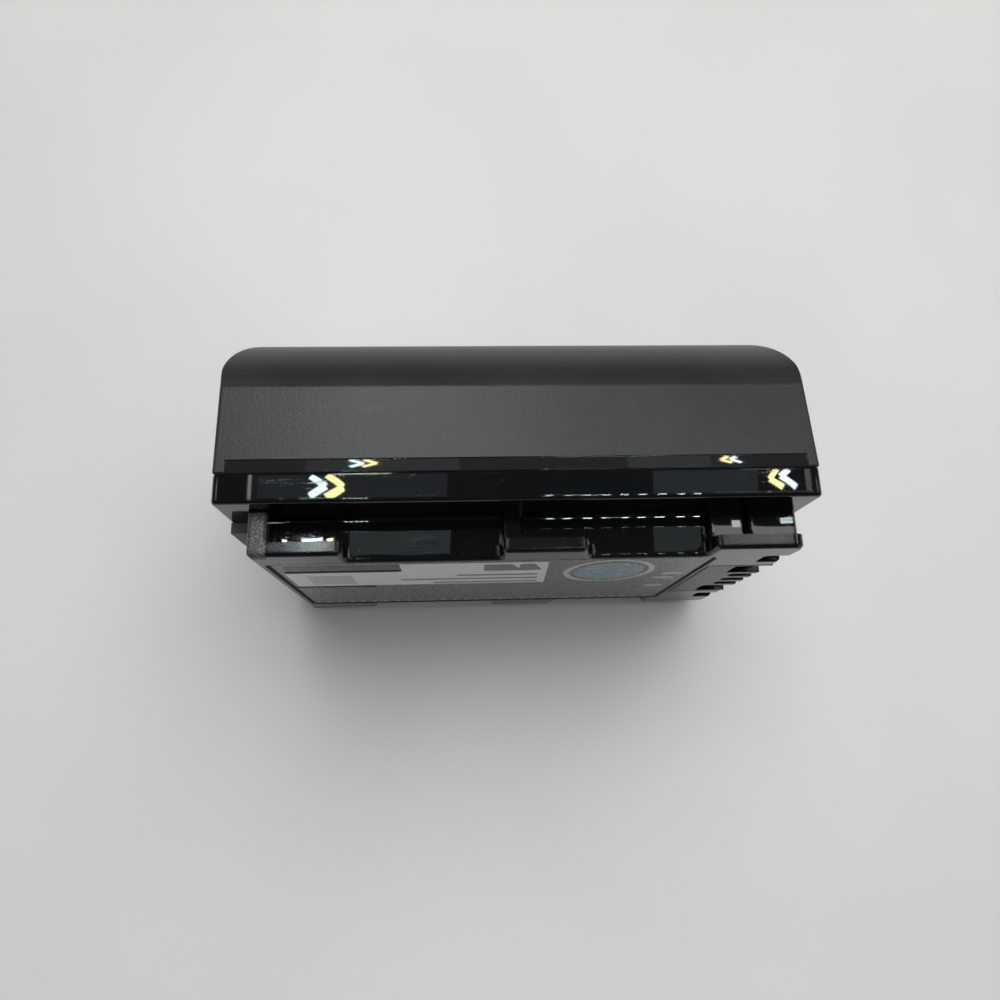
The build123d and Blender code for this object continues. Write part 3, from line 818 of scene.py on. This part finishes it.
@dataclass
class PrintLayer:
    """Flat printed shapes on the label film, modelled as thin layers of ink."""

    face: float
    thickness: float = 0.012
    corner_steps: int = 6
    disc_sides: int = 64

    def _start(self) -> None:
        """Leaves edit mode and clears the selection."""
        if bpy.context.object and bpy.context.object.mode != "OBJECT":
            bpy.ops.object.mode_set(mode="OBJECT")
        bpy.ops.object.select_all(action="DESELECT")

    def _apply(self, name: str) -> bpy.types.Object:
        """Gives the active flat shape its thickness and puts its place in its mesh.

        Args:
            name: Name of the finished piece.

        Returns:
            The piece, at the origin.
        """
        piece = bpy.context.object
        piece.name = name
        piece.data.name = name
        bpy.ops.object.transform_apply(location=True, rotation=True, scale=True)
        wall = piece.modifiers.new("ink", "SOLIDIFY")
        wall.thickness = self.thickness * MM
        wall.offset = 1.0
        bpy.ops.object.modifier_apply(modifier=wall.name)
        return piece

    def panel(self, name: str, patch: Patch) -> bpy.types.Object:
        """Prints one shape with four sides.

        Args:
            name: Name of the piece.
            patch: Its shape and place.

        Returns:
            The piece.
        """
        self._start()
        low, high = patch.low, patch.high
        middle = ((low[0] + high[0]) / 2 * MM, self.face * MM, (low[1] + high[1]) / 2 * MM)
        bpy.ops.mesh.primitive_plane_add(size=1, location=middle, rotation=(math.radians(90), 0, 0))
        bpy.context.object.scale = ((high[0] - low[0]) * MM, (high[1] - low[1]) * MM, 1)
        bpy.ops.object.transform_apply(location=True, rotation=True, scale=True)
        if patch.slant:
            for vertex in bpy.context.object.data.vertices:
                lower_right = vertex.co.x > middle[0] and vertex.co.z < middle[2]
                vertex.co.x += patch.slant * MM if lower_right else 0.0
        if patch.corner:
            bpy.ops.object.mode_set(mode="EDIT")
            bpy.ops.mesh.select_all(action="SELECT")
            bpy.ops.mesh.bevel(offset=patch.corner * MM, segments=self.corner_steps, affect="VERTICES")
            bpy.ops.object.mode_set(mode="OBJECT")
        return self._apply(name)

    def panels(self, name: str, patches: Sequence[Patch]) -> bpy.types.Object:
        """Prints several shapes with four sides as one piece."""
        pieces = [self.panel(f"{name}_{number}", patch) for number, patch in enumerate(patches)]
        return self.joined(name, pieces)

    def disc(self, name: str, centre: Spot, radii: Spot, ring: float = 0.0) -> bpy.types.Object:
        """Round or oval field, or a ring.

        Args:
            name: Name of the piece.
            centre: Its middle on the label, along and up.
            radii: Its two radii, along and up.
            ring: Width of a ring; 0 gives a full field.

        Returns:
            The piece.
        """
        self._start()
        place = (centre[0] * MM, self.face * MM, centre[1] * MM)
        upright = (math.radians(90), 0, 0)
        bpy.ops.mesh.primitive_circle_add(
            vertices=self.disc_sides, radius=1, fill_type="NGON", location=place, rotation=upright
        )
        bpy.context.object.scale = (radii[0] * MM, radii[1] * MM, 1)
        bpy.ops.object.transform_apply(location=True, rotation=True, scale=True)
        if ring:
            bpy.ops.object.mode_set(mode="EDIT")
            bpy.ops.mesh.select_all(action="SELECT")
            bpy.ops.mesh.inset(thickness=ring * MM)
            bpy.ops.mesh.delete(type="FACE")
            bpy.ops.object.mode_set(mode="OBJECT")
        return self._apply(name)

    def joined(self, name: str, pieces: Sequence[bpy.types.Object]) -> bpy.types.Object:
        """Joins pieces of one ink into one.

        Args:
            name: Name of the joined piece.
            pieces: What is joined.

        Returns:
            The joined piece.
        """
        self._start()
        for piece in pieces:
            piece.select_set(True)
        bpy.context.view_layer.objects.active = pieces[0]
        bpy.ops.object.join()
        pieces[0].name = name
        pieces[0].data.name = name
        return pieces[0]


@dataclass
class Label:
    """Label film and the plain fields and shapes printed on it."""

    dresser: Dresser
    film: str = "label_film"
    pale_ink: PrintInk = PrintInk("pale_ink", (0.80, 0.80, 0.78), (0.64, 0.64, 0.63))
    faint_ink: PrintInk = PrintInk("faint_ink", (0.56, 0.56, 0.55), (0.42, 0.42, 0.415))
    grey_ink: PrintInk = PrintInk("grey_ink", (0.10, 0.10, 0.10), (0.20, 0.20, 0.20))
    dark_ink: PrintInk = PrintInk("dark_ink", (0.010, 0.010, 0.010), (0.05, 0.05, 0.05))
    line_ink: PrintInk = PrintInk("line_ink", (0.004, 0.004, 0.004), (0.008, 0.008, 0.008), 0.82)
    mesh_ink: PrintInk = PrintInk("mesh_ink", (0.52, 0.52, 0.51), (0.42, 0.42, 0.41))
    sky_ink: PrintInk = PrintInk("sky_ink", (0.16, 0.27, 0.34), (0.30, 0.38, 0.42), 0.2)
    field: tuple[Patch, ...] = (
        Patch((-19.0, 16.0), (2.6, 22.4), slant=0.3),
        Patch((-9.4, 22.41), (2.4, 25.6), slant=0.2),
    )
    bar: Patch = Patch((-18.6, 23.3), (-9.6, 25.4), 0.2)
    rules: tuple[Patch, ...] = (
        Patch((-18.9, 22.45), (-9.5, 23.2), 0.1),
        Patch((-19.25, 15.25), (-13.4, 15.9), 0.1),
        Patch((-13.39, 14.9), (-12.3, 15.9), 0.2),
    )
    block: Patch = Patch((-17.5, 16.9), (-13.7, 21.0), 0.2)
    heads: tuple[Patch, ...] = (
        Patch((-2.7, 22.2), (-0.4, 24.9), 0.3, 0.9),
        Patch((0.2, 22.2), (1.4, 24.9), 0.3, 0.8),
    )
    lines: tuple[Patch, ...] = (
        Patch((-4.9, 20.0), (2.0, 20.55), 0.12),
        Patch((-9.8, 18.3), (2.1, 18.85), 0.12),
        Patch((-7.0, 16.6), (2.2, 17.15), 0.12),
    )
    oval_middle: Spot = (8.0, 20.9)
    oval: Spot = (2.9, 3.8)
    ring: Spot = (3.85, 5.0)
    ring_width: float = 0.5
    marks: tuple[Patch, ...] = (
        Patch((13.0, 18.9), (14.9, 19.7), 0.2),
        Patch((12.6, 16.9), (14.5, 17.6), 0.2),
        Patch((12.8, 12.5), (14.5, 13.3), 0.2),
    )
    first_dot: Spot = (-17.9, 6.3)
    dot_step: float = 1.15
    dot_count: int = 29
    dot: Spot = (0.2, 0.2)

    def build(self) -> None:
        """Dresses the film and prints on it."""
        self.dresser.nodes([self.film], LabelFilm())
        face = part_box(self.film)[0].y / MM
        under = PrintLayer(face)
        over = PrintLayer(face - under.thickness)
        self._ride(under.panels("print_panel", self.field), self.pale_ink)
        self._ride(under.panel("print_bar", self.bar), self.dark_ink)
        self._ride(under.panels("print_rules", self.rules), self.line_ink)
        self._ride(over.panel("print_block", self.block), self.mesh_ink)
        self._ride(over.panels("print_heads", self.heads), self.grey_ink)
        self._ride(over.panels("print_lines", self.lines), self.grey_ink)
        self._ride(under.disc("print_disc", self.oval_middle, self.oval), self.sky_ink)
        self._ride(under.disc("print_ring", self.oval_middle, self.ring, self.ring_width), self.faint_ink)
        self._ride(under.panels("print_marks", self.marks), self.faint_ink)
        start, level = self.first_dot
        dots = [
            under.disc(f"dot_{number}", (start + self.dot_step * number, level), self.dot)
            for number in range(self.dot_count)
        ]
        self._ride(under.joined("print_dots", dots), self.faint_ink)

    def _ride(self, piece: bpy.types.Object, ink: PrintInk) -> None:
        """Dresses a printed piece and lets it ride on the body."""
        self.dresser.dress(piece, ink)
        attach(piece, BODY)


@dataclass
class TerminalEnd:
    """Terminal block and its fork contacts."""

    dresser: Dresser
    block: str = "terminal_block"
    contacts: tuple[str, ...] = (
        "contact_plus",
        "contact_minus",
        "contact_signal_1",
        "contact_signal_2",
        "contact_signal_3",
    )
    gold: Metal = Metal("gold_flash", (0.80, 0.55, 0.22), (0.55, 0.42, 0.24), 0.16, (0.5, 8.0, 3.0))
    block_gloss: float = 0.14

    def build(self) -> None:
        """Dresses the block and the contacts."""
        self.dresser.nodes([self.block], PolishedBase("moulded_block", gloss=self.block_gloss))
        self.dresser.nodes(self.contacts, self.gold)


@dataclass
class Electronics:
    """Circuit board and the parts on it."""

    dresser: Dresser
    board: str = "circuit_board"
    resin: tuple[str, ...] = (
        "gauge_chip",
        "protection_chip",
        "charge_switch",
        "discharge_switch",
        "thermistor",
    )
    ceramic: tuple[str, ...] = ("sense_resistor", "chip_fuse", "board_capacitors")

    def build(self) -> None:
        """Dresses the board and its parts."""
        self.dresser.nodes([self.board], BoardLaminate())
        self.dresser.nodes(self.resin, ChipResin())
        self.dresser.nodes(self.ceramic, FiredCeramic())


@dataclass
class PowerPack:
    """Two cells with their terminals, straps and padding."""

    dresser: Dresser
    cells: tuple[str, ...] = ("cell_inner", "cell_outer")
    straps: tuple[str, ...] = ("strap_positive", "strap_negative", "strap_middle")
    foams: tuple[str, ...] = ("foam_pad", "end_foam")
    can: Metal = Metal("drawn_can", (0.72, 0.73, 0.75), (0.55, 0.56, 0.58), 0.28)
    strip: Metal = Metal("nickel_strip", (0.62, 0.59, 0.54), (0.44, 0.42, 0.39), 0.22, (6.0, 0.2, 0.2))
    button: Metal = Metal("nickel_button", (0.58, 0.56, 0.53), (0.42, 0.40, 0.38), 0.26, (4.0, 4.0, 4.0))
    gasket: Sheet = Sheet("gasket_ring", (0.70, 0.70, 0.67), (0.58, 0.58, 0.55))
    tape: Sheet = Sheet("amber_tape", (0.50, 0.33, 0.06), (0.42, 0.25, 0.04), 0.25)
    milky: Sheet = Sheet("milky_sheet", (0.62, 0.62, 0.60), (0.52, 0.52, 0.50), 0.4)

    def build(self) -> None:
        """Dresses all of the pack."""
        self.dresser.nodes(self.cells, self.can)
        self.dresser.nodes(self.straps, self.strip)
        self.dresser.nodes([f"{cell}_plate" for cell in self.cells], self.strip)
        self.dresser.nodes([f"{cell}_button" for cell in self.cells], self.button)
        self.dresser.nodes([f"{cell}_gasket" for cell in self.cells], self.gasket)
        self.dresser.nodes(["cell_tape"], self.tape)
        self.dresser.nodes(["board_insulator"], self.milky)
        self.dresser.nodes(["end_card"], PressedCard())
        self.dresser.nodes(self.foams, CellFoam())


class LampColour(Enum):
    """Colours of the ceiling lamps."""

    COOL = (0.80, 0.97, 1.0)
    WARM = (1.0, 0.87, 0.42)
    WHITE = (1.0, 1.0, 1.0)


@dataclass(frozen=True)
class Lamp:
    """One straight lamp under the ceiling.

    Attributes:
        colour: Its colour.
        start: Middle of one end, along and across.
        end: Middle of the other end.
        width: How wide it is.
        radiance: How bright it looks.
    """

    colour: LampColour
    start: Spot
    end: Spot
    width: float = 0.013
    radiance: float = 29.0


@dataclass(frozen=True)
class SoftLight:
    """A wide light that is aimed at the battery; light is how much of it the table gets."""

    name: str
    place: Point
    size: Spot
    light: float


def lamp_row(
    start: float, step: float, count: int, across: float, length: float, radiance: float, width: float
) -> tuple[Lamp, ...]:
    """Row of short cool lamps.

    Args:
        start: Middle of the first one, along.
        step: Distance from one to the next.
        count: How many there are.
        across: Where the row hangs.
        length: Length of each.
        radiance: How bright each is.
        width: Width of each.

    Returns:
        The lamps.
    """
    middles = [start + step * number for number in range(count)]
    half = length / 2
    return tuple(
        Lamp(LampColour.COOL, (middle - half, across), (middle + half, across), width, radiance)
        for middle in middles
    )


@dataclass
class Studio:
    """Table, lamps and camera."""

    dresser: Dresser
    camera_place: Point = (-4.6851, -21.0988, 87.8275)
    camera_turn: Point = (0.2681, -0.0462, -0.0272)
    focal_length: float = 28.8
    sensor_width: float = 36.0
    nearest: float = 0.002
    farthest: float = 20.0
    table_size: float = 3.0
    room_colour: Colour = (0.96, 0.98, 1.0)
    room_light: float = 0.06
    soft_lights: tuple[SoftLight, ...] = (
        SoftLight("key_light", (0.06, 0.20, 0.42), (0.5, 0.4), 2.9),
        SoftLight("side_light", (0.5, -0.1, 0.8), (0.8, 0.8), 0.50),
        SoftLight("fill_light", (-0.35, -0.45, 0.50), (0.6, 0.6), 0.22),
    )
    lamp_height: float = 1.5
    # Two arrows of lamps that the rim and the band mirror, small lamps for the lips, dim panels for lips, rim and
    # cover, strips for the edges at both ends, and two rows for the edges along the front.
    lamps: tuple[Lamp, ...] = (
        Lamp(LampColour.COOL, (-0.294, 0.448), (-0.263, 0.425)),
        Lamp(LampColour.COOL, (-0.293, 0.405), (-0.263, 0.425)),
        Lamp(LampColour.WARM, (-0.261, 0.448), (-0.231, 0.425)),
        Lamp(LampColour.WARM, (-0.264, 0.405), (-0.231, 0.425)),
        Lamp(LampColour.WARM, (0.647, 0.453), (0.629, 0.428)),
        Lamp(LampColour.WARM, (0.654, 0.411), (0.629, 0.428)),
        Lamp(LampColour.COOL, (0.669, 0.451), (0.653, 0.434)),
        Lamp(LampColour.COOL, (0.679, 0.412), (0.653, 0.434)),
        Lamp(LampColour.COOL, (-0.310, 0.320), (-0.268, 0.320), 0.020, 60.0),
        Lamp(LampColour.WARM, (-0.260, 0.320), (-0.250, 0.320), 0.012, 60.0),
        Lamp(LampColour.WHITE, (-0.350, 0.322), (-0.342, 0.322), 0.010, 60.0),
        Lamp(LampColour.WHITE, (0.540, 0.341), (0.561, 0.341), 0.016, 10.0),
        Lamp(LampColour.WHITE, (0.615, 0.313), (0.621, 0.313), 0.010, 60.0),
        Lamp(LampColour.COOL, (0.640, 0.350), (0.668, 0.350), 0.012, 16.0),
        Lamp(LampColour.COOL, (-0.220, 0.320), (-0.021, 0.320), 0.060, 0.55),
        Lamp(LampColour.COOL, (0.384, 0.320), (0.474, 0.320), 0.060, 0.45),
        Lamp(LampColour.WHITE, (0.500, 0.312), (0.700, 0.312), 0.050, 3.0),
        Lamp(LampColour.COOL, (-0.400, 0.425), (-0.030, 0.425), 0.110, 0.29),
        Lamp(LampColour.COOL, (0.385, 0.425), (0.600, 0.425), 0.110, 0.40),
        Lamp(LampColour.WHITE, (-0.27, 0.72), (-0.15, 0.72), 0.30, 50.0),
        Lamp(LampColour.WHITE, (0.60, 0.72), (0.72, 0.72), 0.20, 9.0),
        Lamp(LampColour.WHITE, (-1.50, 0.10), (-1.50, 0.60), 0.10, 20.0),
        Lamp(LampColour.WHITE, (1.75, 0.10), (1.75, 0.60), 0.10, 20.0),
        *lamp_row(0.171, 0.036, 9, -0.02, 0.016, 160.0, 0.060),
        *lamp_row(-0.222, 0.011, 5, -0.02, 0.006, 120.0, 0.060),
    )

    def build(self) -> None:
        """Lays the table, hangs the lamps and sets up the camera."""
        self._table()
        self._world()
        for light in self.soft_lights:
            self._soft_light(light)
        for number, lamp in enumerate(self.lamps):
            self._ceiling_lamp(f"lamp_{number}", lamp)
        self._camera()
        bpy.context.scene.view_settings.view_transform = "Standard"

    def _table(self) -> None:
        """Lays the table top under the battery."""
        bpy.ops.object.select_all(action="DESELECT")
        bpy.ops.mesh.primitive_plane_add(size=self.table_size, location=(0, 0, 0))
        table = bpy.context.object
        table.name = "table_top"
        self.dresser.dress(table, TableTop())

    def _world(self) -> None:
        """Fills the room with dim even light."""
        world = bpy.data.worlds.new("room")
        world.use_nodes = True
        sky = world.node_tree.nodes["Background"]
        sky.inputs["Color"].default_value = (*self.room_colour, 1.0)
        sky.inputs["Strength"].default_value = self.room_light
        bpy.context.scene.world = world

    def _soft_light(self, light: SoftLight) -> None:
        """Hangs a wide soft light that doesn't show in reflections.

        Args:
            light: Its name, place, size and brightness.
        """
        place = Vector(light.place)
        lamp = bpy.data.lights.new(light.name, "AREA")
        lamp.shape = "RECTANGLE"
        lamp.size, lamp.size_y = light.size
        slope = place.normalized().z
        lamp.energy = light.light * math.pi * place.length_squared / slope
        holder = bpy.data.objects.new(light.name, lamp)
        holder.location = place
        holder.rotation_euler = (-place).to_track_quat("-Z", "Y").to_euler()
        holder.visible_glossy = False
        bpy.context.scene.collection.objects.link(holder)

    def _ceiling_lamp(self, name: str, lamp: Lamp) -> None:
        """Hangs one ceiling lamp, which shows in reflections only.

        Args:
            name: Name of the lamp.
            lamp: Its colour, place, size and brightness.
        """
        run = Vector(lamp.end) - Vector(lamp.start)
        middle = (Vector(lamp.start) + Vector(lamp.end)) / 2
        light = bpy.data.lights.new(name, "AREA")
        light.shape = "RECTANGLE"
        light.size, light.size_y = run.length, lamp.width
        light.color = lamp.colour.value
        light.energy = lamp.radiance * math.pi * run.length * lamp.width
        holder = bpy.data.objects.new(name, light)
        holder.location = (middle.x, middle.y, self.lamp_height)
        holder.rotation_euler = Euler((0, 0, math.atan2(run.y, run.x)))
        holder.visible_diffuse = False
        bpy.context.scene.collection.objects.link(holder)

    def _camera(self) -> None:
        """Sets the camera at the photo's place and angle."""
        lens = bpy.data.cameras.new("portrait")
        lens.sensor_width = self.sensor_width
        lens.lens = self.focal_length
        lens.clip_start = self.nearest
        lens.clip_end = self.farthest
        holder = bpy.data.objects.new("portrait", lens)
        holder.location = Vector(self.camera_place) * MM
        holder.rotation_euler = Euler(self.camera_turn, "XYZ")
        bpy.context.scene.collection.objects.link(holder)
        bpy.context.scene.camera = holder


def main() -> None:
    """Builds every sub-assembly in order."""
    logging.basicConfig(level=logging.INFO, format="%(name)s %(message)s")
    dresser = Dresser()
    casing = (Casing(dresser), EndRound(dresser), Label(dresser), TerminalEnd(dresser))
    for part in (*casing, Electronics(dresser), PowerPack(dresser)):
        part.build()
        log.info("%s is dressed", type(part).__name__)
    Studio(dresser).build()


if __name__ == "__main__":
    main()
